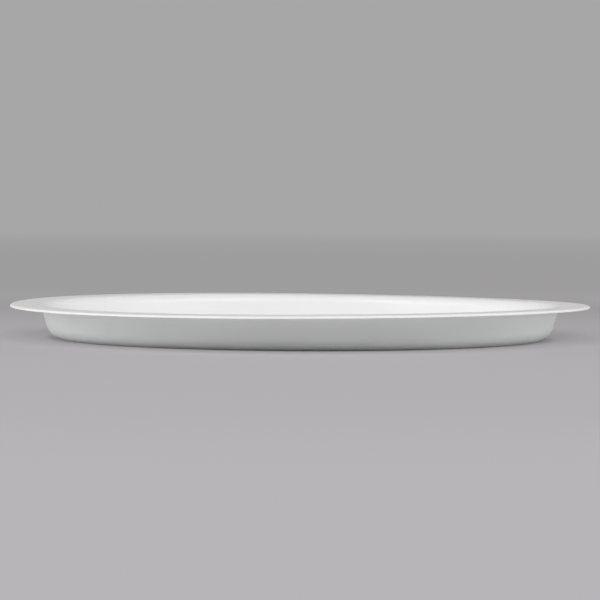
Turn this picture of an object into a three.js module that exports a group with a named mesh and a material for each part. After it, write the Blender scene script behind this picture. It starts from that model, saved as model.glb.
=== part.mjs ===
// Oval serving platter, moulded in two layers: a body, and a glaze skin pressed on its serving side.
// Millimetres, +Z up, +X along the length. The origin is the middle of the oval that the foot stands on.
import * as THREE from "three";

// Driving dimensions
const platterLength = 533.4;
const platterWidth = 381;
const platterHeight = 31.7; // table to the top of the rim
const rimFlat = 22.5; // lip edge to where the rim starts to turn down into the well
const rimThickness = 2.2;
const lipCoreRadius = 1.7; // round on the upper edge of the body's lip, under the glaze
const shoulderRadius = 11; // rim top into the inner wall
const wallDraft = 15; // degrees that the wall leans outwards from upright
const wallThickness = 3.2;
const wellCornerRadius = 12; // inner wall into the well floor
const floorThickness = 3.4;
const underRimRadius = 7; // underside of the rim into the outer wall
const heelHeight = 4.4; // table to where the outer wall and the heel slope would meet
const heelLean = 65; // degrees that the heel slope leans outwards from upright
const heelRadius = 15; // outer wall into the heel slope
const toeRadius = 4; // heel slope into the foot ring
const footWidth = 5; // flat ring that touches the table
const footHeight = 1.2; // table to the recessed base panel
const footSlope = 1.5; // sideways run from the foot ring up to the panel
const glazeThickness = 0.4;
const rimTwist = 1; // the moulding's set: two opposite quarters of the rim stand this much high, two low

// Smoothness of the facets
const ovalSides = 72;
const roundSteps = 6;
const lipSteps = 5;

// Values that follow from the sizes
const halfLength = platterLength / 2;
const halfWidth = platterWidth / 2;
const floorTop = footHeight + floorThickness;
const rimUnderside = platterHeight - rimThickness;
const level = Math.PI / 2; // the lean of a level face
const draft = THREE.MathUtils.degToRad(wallDraft);
const slope = THREE.MathUtils.degToRad(heelLean);
const tangentRun = Math.tan((level - draft) / 2); // from a rim corner to where its round begins, for a radius of 1

// The two sides of the wall, as the inset of each at a height
const wallTopInset = rimFlat + shoulderRadius * tangentRun;
const innerWallInset = (height) => wallTopInset + (platterHeight - height) * Math.tan(draft);
const outerWallInset = (height) => innerWallInset(height) - wallThickness / Math.cos(draft);

// A profile point: inset is the distance in from the lip's edge, square to the oval.
const point = (inset, height) => new THREE.Vector2(inset, height);

// Points along an arc about (inset, height) from one angle to another, both ends included
function arc(inset, height, radius, fromAngle, toAngle, steps) {
  return Array.from({ length: steps + 1 }, (_, i) => {
    const angle = THREE.MathUtils.lerp(fromAngle, toAngle, i / steps);
    return point(inset + radius * Math.cos(angle), height + radius * Math.sin(angle));
  });
}

// A hollow round at a corner where a face turns steeper on its way up; a lean is an angle from upright.
function roundUpwards(cornerInset, height, fromLean, toLean, radius, depth) {
  const halfTurn = (fromLean - toLean) / 2;
  const reach = radius / Math.cos(halfTurn);
  const bisector = fromLean - halfTurn;
  const middle = point(cornerInset + reach * Math.cos(bisector), height + reach * Math.sin(bisector));
  return arc(middle.x, middle.y, radius + depth, Math.PI + fromLean, Math.PI + toLean, roundSteps);
}

// A full round from the wall up over into a level face at a height
function roundIntoRim(cornerInset, height, radius, depth) {
  const middle = point(cornerInset - radius * tangentRun, height - radius);
  return arc(middle.x, middle.y, radius - depth, draft, level, roundSteps);
}

// Serving side from the well floor out to the lip's lower edge, at a depth below the finished surface.
// The rounds keep their middles at every depth, so two depths stay an even distance apart.
function servingProfile(depth) {
  const lipRadius = lipCoreRadius + glazeThickness;
  const lip = arc(lipRadius, platterHeight - lipRadius, lipRadius - depth, Math.PI / 2, Math.PI, lipSteps);
  return [
    ...roundUpwards(innerWallInset(floorTop), floorTop, level, draft, wellCornerRadius, depth),
    ...roundIntoRim(wallTopInset, platterHeight, shoulderRadius, depth),
    ...lip,
    point(depth, rimUnderside),
  ];
}

// Underside from the recessed base panel over the foot ring, up the heel and outer wall and out to the glaze
function undersideProfile() {
  const heelInset = outerWallInset(heelHeight);
  const heel = roundUpwards(heelInset, heelHeight, slope, draft, heelRadius, 0);
  const toe = roundUpwards(heelInset + heelHeight * Math.tan(slope), 0, level, slope, toeRadius, 0);
  const footInnerInset = toe[0].x + footWidth;
  return [
    point(footInnerInset + footSlope, footHeight),
    point(footInnerInset, 0),
    ...toe,
    ...heel,
    ...roundIntoRim(outerWallInset(rimUnderside), rimUnderside, underRimRadius, 0),
    point(glazeThickness, rimUnderside),
  ];
}

// How far the rim's set lifts a place: nothing up to the well floor, then more towards the rim
function setAt(x, y, height) {
  const rise = Math.max(0, height - floorTop) / (platterHeight - floorTop);
  return (-rimTwist * rise * 2 * x * y) / (halfLength * halfWidth);
}

// One ring of points: the oval moved in by the profile point's inset, square to itself
function ring({ x: inset, y: height }) {
  return Array.from({ length: ovalSides }, (_, i) => {
    const angle = (2 * Math.PI * i) / ovalSides;
    const place = new THREE.Vector2(halfLength * Math.cos(angle), halfWidth * Math.sin(angle));
    const outward = new THREE.Vector2(halfWidth * Math.cos(angle), halfLength * Math.sin(angle)).normalize();
    place.addScaledVector(outward, -inset);
    return new THREE.Vector3(place.x, place.y, height + setAt(place.x, place.y, height));
  });
}

// Corners of the triangles that carry an outward profile round the oval, closed flat at the middle
function sheet(profile, facesUp) {
  const rings = profile.map(ring);
  const middle = new THREE.Vector3(0, 0, profile[0].y);
  const corners = [];
  const triangle = (a, b, c) => corners.push(a, ...(facesUp ? [b, c] : [c, b]));
  for (let i = 0; i < ovalSides; i++) {
    const next = (i + 1) % ovalSides;
    triangle(middle, rings[0][i], rings[0][next]);
    for (let k = 0; k + 1 < rings.length; k++) {
      triangle(rings[k][i], rings[k + 1][i], rings[k + 1][next]);
      triangle(rings[k][i], rings[k + 1][next], rings[k][next]);
    }
  }
  return corners;
}

// A closed piece between an upper and a lower sheet that end in the same ring
function layer(name, upper, lower, material) {
  const geometry = new THREE.BufferGeometry();
  geometry.setFromPoints([...sheet(upper, true), ...sheet(lower, false)]);
  geometry.computeVertexNormals();
  const mesh = new THREE.Mesh(geometry, material);
  mesh.name = name;
  return mesh;
}

const bodyMaterial = new THREE.MeshStandardMaterial({ color: 0xe9e9e7, roughness: 0.35, metalness: 0 });
const glazeMaterial = new THREE.MeshStandardMaterial({ color: 0xf3f3f1, roughness: 0.3, metalness: 0 });

// Body and glaze are bonded over this face, and both carry its points.
const bondFace = servingProfile(glazeThickness);
const servingFace = servingProfile(0);
const glazeEdge = bondFace.at(-1);

const platter = new THREE.Group();
platter.add(layer("moulded_body", bondFace, undersideProfile(), bodyMaterial));
platter.add(layer("serving_glaze", [...servingFace, glazeEdge], bondFace, glazeMaterial));

export default platter;
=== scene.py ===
import math
import bpy
import numpy as np
from mathutils import Matrix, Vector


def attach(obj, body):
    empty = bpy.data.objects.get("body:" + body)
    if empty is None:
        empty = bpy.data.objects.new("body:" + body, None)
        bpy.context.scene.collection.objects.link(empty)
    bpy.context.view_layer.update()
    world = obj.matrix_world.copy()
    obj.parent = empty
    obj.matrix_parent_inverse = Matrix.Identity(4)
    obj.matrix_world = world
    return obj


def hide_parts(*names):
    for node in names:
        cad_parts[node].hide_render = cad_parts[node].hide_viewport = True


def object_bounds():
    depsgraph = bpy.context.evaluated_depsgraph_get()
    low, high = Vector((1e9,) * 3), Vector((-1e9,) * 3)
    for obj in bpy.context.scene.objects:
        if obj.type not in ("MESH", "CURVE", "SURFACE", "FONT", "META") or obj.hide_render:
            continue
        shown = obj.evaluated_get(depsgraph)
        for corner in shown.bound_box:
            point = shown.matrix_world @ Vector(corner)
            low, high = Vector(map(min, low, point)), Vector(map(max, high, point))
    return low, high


# Oval serving platter: a moulded body with a glaze pressed on its serving side. Metres, +Z up, +X along it.
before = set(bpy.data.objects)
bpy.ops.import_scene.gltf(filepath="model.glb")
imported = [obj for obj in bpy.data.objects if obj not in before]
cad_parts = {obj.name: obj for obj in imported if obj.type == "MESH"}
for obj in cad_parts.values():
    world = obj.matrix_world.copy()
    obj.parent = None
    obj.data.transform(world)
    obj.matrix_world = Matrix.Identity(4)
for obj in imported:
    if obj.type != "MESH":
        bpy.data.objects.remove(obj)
cadLow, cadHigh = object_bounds()
print("frame loaded:", sorted(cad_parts))
scene = bpy.context.scene
scene.view_settings.view_transform = "Standard"

# what both pieces share
platter = {
    "halfLength": cadHigh.x,
    "halfWidth": cadHigh.y,
    "rimTop": 0.0317,  # table to the top of the rim
    "rimSet": 0.001,  # two opposite quarters of the rim stand this much high, two low
    "floorTop": 0.0046,  # table to the well floor
    "wallTopInset": 0.03094,  # lip edge to where rim top and inner wall would meet
    "wallDraft": math.radians(15),  # lean of the wall from upright
    "rimThickness": 0.0022,
    "glazeThickness": 0.0004,
    "ovalSteps": 480,  # points round the oval
    "bendSteps": 18,  # steps along each round of a profile
    "middleRings": 14,  # rings in each flat middle, its edge among them
    "sharpAngle": math.radians(50),  # an edge that turns more than this is shaded sharp
}
rimUnderside = platter["rimTop"] - platter["rimThickness"]
glaze = platter["glazeThickness"]


# inset of the inner wall at a height, measured from the lip edge
def innerWall(height):
    return platter["wallTopInset"] + (platter["rimTop"] - height) * math.tan(platter["wallDraft"])


# A profile is a line through corners (inset, height, round). Each round is an arc that touches both straights.
# It starts and ends round / tan(half angle) from the corner, about a middle round / sin(half angle) from it.
def roundedProfile(corners):
    places = np.array([corner[:2] for corner in corners])
    runs = [places[:1]]
    for before, here, after, (_, _, radius) in zip(places, places[1:], places[2:], corners[1:]):
        back = (before - here) / np.linalg.norm(before - here)
        onward = (after - here) / np.linalg.norm(after - here)
        half = math.acos(np.clip(back @ onward, -1, 1)) / 2
        middle = here + (back + onward) / np.linalg.norm(back + onward) * radius / math.sin(half)
        start = here + back * radius / math.tan(half) - middle
        end = here + onward * radius / math.tan(half) - middle
        fromAngle = math.atan2(start[1], start[0])
        sweep = math.remainder(math.atan2(end[1], end[0]) - fromAngle, 2 * math.pi)
        angles = fromAngle + sweep * np.linspace(0, 1, platter["bendSteps"] + 1)
        runs.append(middle + radius * np.stack([np.cos(angles), np.sin(angles)], axis=1))
    runs.append(places[-1:])
    return np.concatenate(runs)


# A profile point goes round the oval: the oval's own point, moved in by the inset along the oval's normal,
# drawn to the middle by the reach, and lifted by the rim's set, which grows from the well floor to the rim.
def carryRound(inset, height, reach):
    inset, height, reach = inset[:, None], height[:, None], reach[:, None]
    around = np.linspace(0, 2 * math.pi, platter["ovalSteps"], endpoint=False)[None, :]
    a, b = platter["halfLength"], platter["halfWidth"]
    normalLength = np.hypot(b * np.cos(around), a * np.sin(around))
    x = reach * np.cos(around) * (a - inset * b / normalLength)
    y = reach * np.sin(around) * (b - inset * a / normalLength)
    rise = np.clip((height - platter["floorTop"]) / (platter["rimTop"] - platter["floorTop"]), 0, None)
    z = height - platter["rimSet"] * rise * 2 * x * y / (a * b)
    return np.stack([x, y, z], axis=2)


# A closed shell: one profile out from the middle to the lip, and one back in, carried round together.
# Each flat middle is the profile's innermost point, ringed at even reaches and closed by a fan at the pole.
def shellPiece(name, outward, inward):
    reach = np.linspace(0, 1, platter["middleRings"] + 1)[1:-1]
    path = np.concatenate([outward[:1].repeat(len(reach), axis=0), outward, inward[1:],
                           inward[-1:].repeat(len(reach), axis=0)])
    reaches = np.concatenate([reach, np.ones(len(path) - 2 * len(reach)), reach[::-1]])
    grid = carryRound(path[:, 0], path[:, 1], reaches)
    rings, steps = grid.shape[:2]
    poles = [[0, 0, outward[0, 1]], [0, 0, inward[-1, 1]]]
    points = np.concatenate([grid.reshape(-1, 3), poles])
    index = np.arange(rings * steps).reshape(rings, steps)
    ahead = np.roll(index, -1, axis=1)
    quads = np.stack([index[:-1], index[1:], ahead[1:], ahead[:-1]], axis=2).reshape(-1, 4)
    pole = np.full(steps, rings * steps)
    topFan = np.stack([pole, index[0], ahead[0]], axis=1)
    bottomFan = np.stack([pole + 1, ahead[-1], index[-1]], axis=1)
    mesh = bpy.data.meshes.new(name)
    mesh.from_pydata(points.tolist(), [], quads.tolist() + topFan.tolist() + bottomFan.tolist())
    mesh.shade_smooth()
    mesh.set_sharp_from_angle(angle=platter["sharpAngle"])
    piece = bpy.data.objects.new(name, mesh)
    scene.collection.objects.link(piece)
    print(name, "points:", len(points), "faces:", len(mesh.polygons))
    return piece


# serving side: well floor, inner wall, rim and lip
glazeSkin = {
    "wellRound": 0.012,
    "wellMargin": 1e-6,  # flat floor kept between the well's round and the rings of the middle
    "shoulderRound": 0.011,
    "lipRound": 0.0021,
}


# the serving side at a depth below its finished surface; the rounds keep their middles at every depth
def servingSide(depth, lipEnd):
    floor = platter["floorTop"] - depth
    rim = platter["rimTop"] - depth
    wallShift = depth / math.cos(platter["wallDraft"])
    wellCorner = innerWall(floor) - wallShift
    wellRound = glazeSkin["wellRound"] + depth
    wellEdge = wellCorner + wellRound / math.tan((math.pi / 2 + platter["wallDraft"]) / 2)
    corners = [
        (wellEdge + glazeSkin["wellMargin"], floor, 0),
        (wellCorner, floor, wellRound),
        (innerWall(rim) - wallShift, rim, glazeSkin["shoulderRound"] - depth),
        (depth, rim, glazeSkin["lipRound"] - depth),
    ]
    return roundedProfile(corners + lipEnd)


finishedSide = servingSide(0, [(0, rimUnderside, glaze), (glaze, rimUnderside, 0)])
bondSide = servingSide(glaze, [(glaze, rimUnderside, 0)])
servingGlaze = shellPiece("servingGlaze", finishedSide, bondSide[::-1])
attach(servingGlaze, "root")
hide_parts("serving_glaze")

# underside: base panel, foot ring, heel, outer wall and the rim's underside
bodyShell = {
    "wallThickness": 0.0032,
    "heelHeight": 0.0044,  # table to where the wall and the heel's slope would meet
    "heelLean": math.radians(65),  # of the heel's slope from upright
    "heelRound": 0.015,
    "toeRound": 0.004,  # heel into the foot ring
    "underRimRound": 0.007,
    "footWidth": 0.005,
    "footHeight": 0.0012,
    "footSlope": 0.0015,
    "footRound": 0.0005,
    "panelMargin": 0.0015,  # flat panel kept between its edge and the rings of the middle
}


# the underside from the base panel out to the glaze's edge on the lip
def underside():
    wallShift = bodyShell["wallThickness"] / math.cos(platter["wallDraft"])
    heel = innerWall(bodyShell["heelHeight"]) - wallShift
    toe = heel + bodyShell["heelHeight"] * math.tan(bodyShell["heelLean"])
    footOuter = toe + bodyShell["toeRound"] * math.tan((math.pi / 2 - bodyShell["heelLean"]) / 2)
    footInner = footOuter + bodyShell["footWidth"]
    panelEdge = footInner + bodyShell["footSlope"]
    corners = [
        (panelEdge + bodyShell["panelMargin"], bodyShell["footHeight"], 0),
        (panelEdge, bodyShell["footHeight"], bodyShell["footRound"]),
        (footInner, 0, bodyShell["footRound"]),
        (toe, 0, bodyShell["toeRound"]),
        (heel, bodyShell["heelHeight"], bodyShell["heelRound"]),
        (innerWall(rimUnderside) - wallShift, rimUnderside, bodyShell["underRimRound"]),
        (glaze, rimUnderside, 0),
    ]
    return roundedProfile(corners)


mouldedBody = shellPiece("mouldedBody", bondSide, underside()[::-1])
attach(mouldedBody, "root")
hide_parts("moulded_body")


# node helpers; an input is a constant or another node's output
def setInputs(tree, node, inputs):
    for key, value in inputs.items():
        if isinstance(value, bpy.types.NodeSocket):
            tree.links.new(value, node.inputs[key])
        else:
            node.inputs[key].default_value = value


def addNode(tree, kind, inputs, **settings):
    node = tree.nodes.new(kind)
    for key, value in settings.items():
        setattr(node, key, value)
    setInputs(tree, node, inputs)
    return node


def noiseOf(tree, vector, scale, detail, rough=0.5):
    inputs = {"Vector": vector, "Scale": scale, "Detail": detail, "Roughness": rough}
    return addNode(tree, "ShaderNodeTexNoise", inputs).outputs["Fac"]


# a value between two limits, turned into one between two results
def spread(tree, value, limits, results=(0, 1), **settings):
    inputs = {"Value": value, "From Min": limits[0], "From Max": limits[1]}
    inputs.update({"To Min": results[0], "To Max": results[1]})
    return addNode(tree, "ShaderNodeMapRange", inputs, **settings).outputs["Result"]


def smoothShare(tree, value, limits):
    return spread(tree, value, limits, interpolation_type="SMOOTHSTEP")


def combine(tree, first, second, operation="ADD"):
    return addNode(tree, "ShaderNodeMath", {0: first, 1: second}, operation=operation).outputs[0]


def lengthOf(tree, vector):
    return addNode(tree, "ShaderNodeVectorMath", {0: vector}, operation="LENGTH").outputs["Value"]


# the mix node's colours go by number, because its other inputs and outputs have the same names
def mixColours(tree, factor, first, second):
    inputs = {"Factor": factor}
    for key, value in ((6, first), (7, second)):
        inputs[key] = value if isinstance(value, bpy.types.NodeSocket) else (*value, 1)
    return addNode(tree, "ShaderNodeMix", inputs, data_type="RGBA").outputs[2]


def newFinish(name):
    finish = bpy.data.materials.new(name)
    finish.use_nodes = True
    tree = finish.node_tree
    surface = tree.nodes["Principled BSDF"]
    place = addNode(tree, "ShaderNodeTexCoord", {}).outputs["Object"]
    return finish, tree, surface, place


# what both finishes share; a noise is its scale, its detail and, for the scuffs, its roughness
noiseSpan = (0.2, 0.8)  # noise values between which a finish goes from one end of its range to the other


# faint clouds of a second white
def cloudedColour(tree, place, look):
    cloud = spread(tree, noiseOf(tree, place, *look["cloudNoise"]), noiseSpan)
    return mixColours(tree, cloud, look["white"], look["cloudedWhite"])


def unevenGloss(tree, place, look):
    return spread(tree, noiseOf(tree, place, *look["glossNoise"]), noiseSpan, look["gloss"])


# a shallow ripple with a finer grain on it
def rippledNormal(tree, place, look):
    grain = combine(tree, noiseOf(tree, place, *look["grainNoise"]), look["grainShare"], "MULTIPLY")
    height = combine(tree, noiseOf(tree, place, *look["rippleNoise"]), grain)
    bump = addNode(tree, "ShaderNodeBump", {"Height": height, "Distance": look["rippleDepth"]})
    return bump.outputs["Normal"]


glazeFinish = {
    "white": (0.874, 0.873, 0.872),
    "cloudedWhite": (0.866, 0.866, 0.865),
    "cloudNoise": (7, 2),
    "gloss": (0.282, 0.312),  # roughness of the clearest and the haziest places
    "glossNoise": (42, 5),
    "scuffSqueeze": (1, 14, 14),  # scuffs run along the platter and are this much narrower than long
    "scuffTurn": (0, 0, 0.5),  # radians, after the squeeze, so it picks another pattern and not a direction
    "scuffNoise": (34, 6, 0.65),
    "scuffSpan": (0.62, 0.74),  # noise values at which a scuff begins and is at its full
    "scuffRoughness": 0.04,  # what a full scuff adds
    "rippleNoise": (45, 1),
    "rippleDepth": 0.000015,
    "grainNoise": (420, 2),
    "grainShare": 0.12,  # height of the grain beside the ripple's
    "refraction": 1.5,
}


def dressGlaze(piece):
    finish, tree, surface, place = newFinish("whiteGlaze")
    mapping = {"Vector": place, "Scale": glazeFinish["scuffSqueeze"], "Rotation": glazeFinish["scuffTurn"]}
    streaked = addNode(tree, "ShaderNodeMapping", mapping).outputs["Vector"]
    streaks = noiseOf(tree, streaked, *glazeFinish["scuffNoise"])
    scuffs = spread(tree, streaks, glazeFinish["scuffSpan"], (0, glazeFinish["scuffRoughness"]))
    setInputs(tree, surface, {
        "Base Color": cloudedColour(tree, place, glazeFinish),
        "Roughness": combine(tree, unevenGloss(tree, place, glazeFinish), scuffs),
        "Normal": rippledNormal(tree, place, glazeFinish),
        "IOR": glazeFinish["refraction"],
    })
    piece.data.materials.append(finish)


bodyFinish = {
    "white": (0.826, 0.836, 0.838),
    "cloudedWhite": (0.82, 0.83, 0.832),
    "cloudNoise": (6, 2),
    "gloss": (0.285, 0.315),  # roughness of the clearest and the haziest places
    "glossNoise": (36, 5),
    "footGrey": (0.70, 0.69, 0.67),  # where the foot has rubbed on tables
    "footRoughness": 0.5,  # what full rubbing adds
    "rubHeight": (0.00005, 0.0006),  # above the table, from full rubbing to none
    "rubNoise": (120, 4),
    "rubSpan": (0.35, 0.65),  # noise values between which the patches go from faint to full
    "rubPatches": (0.3, 1),  # share of the rubbing in faint and in full patches
    "rippleNoise": (30, 1),
    "rippleDepth": 0.000008,
    "grainNoise": (1400, 2),
    "grainShare": 0.06,  # height of the grain beside the ripple's
    "refraction": 1.55,
}


def dressBody(piece):
    finish, tree, surface, place = newFinish("whiteMelamine")
    height = addNode(tree, "ShaderNodeSeparateXYZ", {"Vector": place}).outputs["Z"]
    patches = noiseOf(tree, place, *bodyFinish["rubNoise"])
    patchy = spread(tree, patches, bodyFinish["rubSpan"], bodyFinish["rubPatches"])
    rubbed = combine(tree, spread(tree, height, bodyFinish["rubHeight"], (1, 0)), patchy, "MULTIPLY")
    dulled = combine(tree, rubbed, bodyFinish["footRoughness"], "MULTIPLY")
    clouded = cloudedColour(tree, place, bodyFinish)
    setInputs(tree, surface, {
        "Base Color": mixColours(tree, rubbed, clouded, bodyFinish["footGrey"]),
        "Roughness": combine(tree, unevenGloss(tree, place, bodyFinish), dulled),
        "Normal": rippledNormal(tree, place, bodyFinish),
        "IOR": bodyFinish["refraction"],
    })
    piece.data.materials.append(finish)


dressGlaze(servingGlaze)
dressBody(mouldedBody)
print("finishes:", [finish.name for finish in bpy.data.materials])

# table and background
stageFloor = {
    "halfSize": 14.0,
    "near": (0.478, 0.464, 0.478),  # floor before the platter
    "behind": (0.344, 0.337, 0.341),  # floor behind it, painted darker: painted shade where the lamps' light falls off
    "bounce": (0.80, 0.795, 0.79),  # the white that it throws back on the platter
    "roughness": 0.9,
    "specular": 0.1,
    "nearGlow": 0.5,  # share of the near tone that shows by itself; lamps and shadow make the rest
    "contactGlow": 0.1,  # that share where the foot ring stands
    "contactInset": 0.0453,  # lip edge to the foot ring
    "contactFade": (1.0, 1.1),  # as shares of the foot's oval, from contact glow to near glow
    "nearFade": (-0.3, 1.0),  # Y over which near turns to behind
    "distantFade": (2.0, 10.0),  # distance over which every tone turns to that of the surroundings
    "litFade": (0.3, 0.9),  # distance over which lamp light gives way to an even tone
}

# the world's tone, which the camera and reflections show and which lights nothing
surroundings = {
    "shown": (0.392, 0.386, 0.388),
}


# 1 for rays that show the floor or the world, 0 for rays by which they light the platter
def shownRays(tree):
    path = addNode(tree, "ShaderNodeLightPath", {}).outputs
    seen = combine(tree, path["Is Camera Ray"], path["Is Glossy Ray"], "MAXIMUM")
    return combine(tree, seen, path["Is Transmission Ray"], "MAXIMUM")


# the floor's tone by place: near to the painted shade behind, and far out to that of the surroundings
def floorColour(tree, place, distance):
    depth = addNode(tree, "ShaderNodeSeparateXYZ", {"Vector": place}).outputs["Y"]
    # painted shade: the floor darkens towards the back, where the lamps' light falls off
    behind = smoothShare(tree, depth, stageFloor["nearFade"])
    colour = mixColours(tree, behind, stageFloor["near"], stageFloor["behind"])
    distant = smoothShare(tree, distance, stageFloor["distantFade"])
    return mixColours(tree, distant, colour, surroundings["shown"])


# how much of its tone the floor shows by itself: least at the foot ring, more round it and all of it far out
def glowShare(tree, place, distance):
    footOval = [1 / (platter[half] - stageFloor["contactInset"]) for half in ("halfLength", "halfWidth")]
    scaled = addNode(tree, "ShaderNodeVectorMath", {0: place, 1: (*footOval, 0)}, operation="MULTIPLY")
    fromFoot = smoothShare(tree, lengthOf(tree, scaled.outputs[0]), stageFloor["contactFade"])
    nearShare = spread(tree, fromFoot, (0, 1), (stageFloor["contactGlow"], stageFloor["nearGlow"]))
    return combine(tree, nearShare, smoothShare(tree, distance, stageFloor["litFade"]), "MAXIMUM")


def layFloor():
    edge = stageFloor["halfSize"]
    x, y = np.meshgrid([-edge, edge], [-edge, edge])
    corners = np.stack([x, y, np.zeros((2, 2))], axis=2).reshape(-1, 3)
    mesh = bpy.data.meshes.new("studioFloor")
    mesh.from_pydata(corners.tolist(), [], [(0, 1, 3, 2)])
    floor = bpy.data.objects.new("studioFloor", mesh)
    scene.collection.objects.link(floor)
    finish, tree, surface, place = newFinish("paleFloor")
    distance = lengthOf(tree, place)
    colour = floorColour(tree, place, distance)
    shown = shownRays(tree)
    setInputs(tree, surface, {
        "Base Color": mixColours(tree, shown, stageFloor["bounce"], colour),
        "Roughness": stageFloor["roughness"],
        "Specular IOR Level": stageFloor["specular"],
    })
    lit = surface.outputs[0]
    even = addNode(tree, "ShaderNodeEmission", {"Color": colour}).outputs[0]
    share = glowShare(tree, place, distance)
    showing = addNode(tree, "ShaderNodeMixShader", {0: share, 1: lit, 2: even}).outputs[0]
    mix = addNode(tree, "ShaderNodeMixShader", {0: shown, 1: lit, 2: showing}).outputs[0]
    tree.links.new(mix, tree.nodes["Material Output"].inputs["Surface"])
    finish.cycles.emission_sampling = "NONE"
    mesh.materials.append(finish)


def setWorld():
    world = bpy.data.worlds.new("studioSurroundings")
    world.use_nodes = True
    tree = world.node_tree
    inputs = {"Color": (*surroundings["shown"], 1), "Strength": shownRays(tree)}
    setInputs(tree, tree.nodes["Background"], inputs)
    scene.world = world


layFloor()
setWorld()
print("floor and surroundings laid")

# soft boxes, all turned to the middle of the foot: place, size and power in watts
# one that isn't mirrored lights the platter without showing in its gloss
softBoxes = {
    "frontLeft": {"place": (-1.791, -1.989, 2.973), "size": (2.8, 2.6), "watts": 55},
    "frontRight": {"place": (1.791, -1.989, 2.973), "size": (2.8, 2.6), "watts": 55},
    "overhead": {"place": (0, -1.035, 3.864), "size": (3.0, 1.6), "watts": 22},
    "front": {"place": (0, -3.464, 2.0), "size": (2.4, 1.6), "watts": 20},
    "leftSide": {"place": (-3.948, 0.138, 0.626), "size": (1.6, 1.4), "watts": 58, "mirrored": False},
    "rightSide": {"place": (3.948, 0.138, 0.626), "size": (1.6, 1.4), "watts": 54, "mirrored": False},
    "leftWide": {"place": (-3.767, -0.529, 1.236), "size": (2.6, 1.8), "watts": 19},
    "rightWide": {"place": (3.527, -1.146, 1.498), "size": (2.6, 1.8), "watts": 6},
}


def hangLights():
    for name, box in softBoxes.items():
        lamp = bpy.data.lights.new(name, "AREA")
        lamp.shape = "RECTANGLE"
        lamp.size, lamp.size_y = box["size"]
        lamp.energy = box["watts"]
        holder = bpy.data.objects.new(name, lamp)
        scene.collection.objects.link(holder)
        back = np.array(box["place"]) / np.linalg.norm(box["place"])  # a lamp shines against its own Z
        side = np.cross((0, 1, 0), back)
        side = side / np.linalg.norm(side)
        turn = np.stack([side, np.cross(back, side), back], axis=1)
        holder.matrix_world = Matrix.Translation(box["place"]) @ Matrix(turn.tolist()).to_4x4()
        holder.visible_glossy = box.get("mirrored", True)


hangLights()
print("lights:", list(softBoxes))

# the photograph's view: low, from the long side
viewpoint = {
    "distance": 1.46678,  # eye to the middle of the foot
    "elevation": 0.077,  # of the eye above the table as seen from there, in radians
    "aimAbove": 0.02368,  # how far the view's middle is above the middle of the foot, in radians
    "roll": 0.0049,  # in radians
    "lens": 94.77,  # millimetres, as the sensor's width is
    "sensorWidth": 36,
}


def placeCamera():
    lens = bpy.data.cameras.new("photographView")
    lens.lens = viewpoint["lens"]
    lens.sensor_width = viewpoint["sensorWidth"]
    camera = bpy.data.objects.new("photographView", lens)
    scene.collection.objects.link(camera)
    height = viewpoint["distance"] * math.sin(viewpoint["elevation"])
    back = viewpoint["distance"] * math.cos(viewpoint["elevation"])
    down = viewpoint["elevation"] - viewpoint["aimAbove"]
    turn = Matrix.Rotation(math.pi / 2 - down, 4, "X") @ Matrix.Rotation(viewpoint["roll"], 4, "Z")
    camera.matrix_world = Matrix.Translation((0, -back, height)) @ turn
    scene.camera = camera


placeCamera()
print("camera placed")
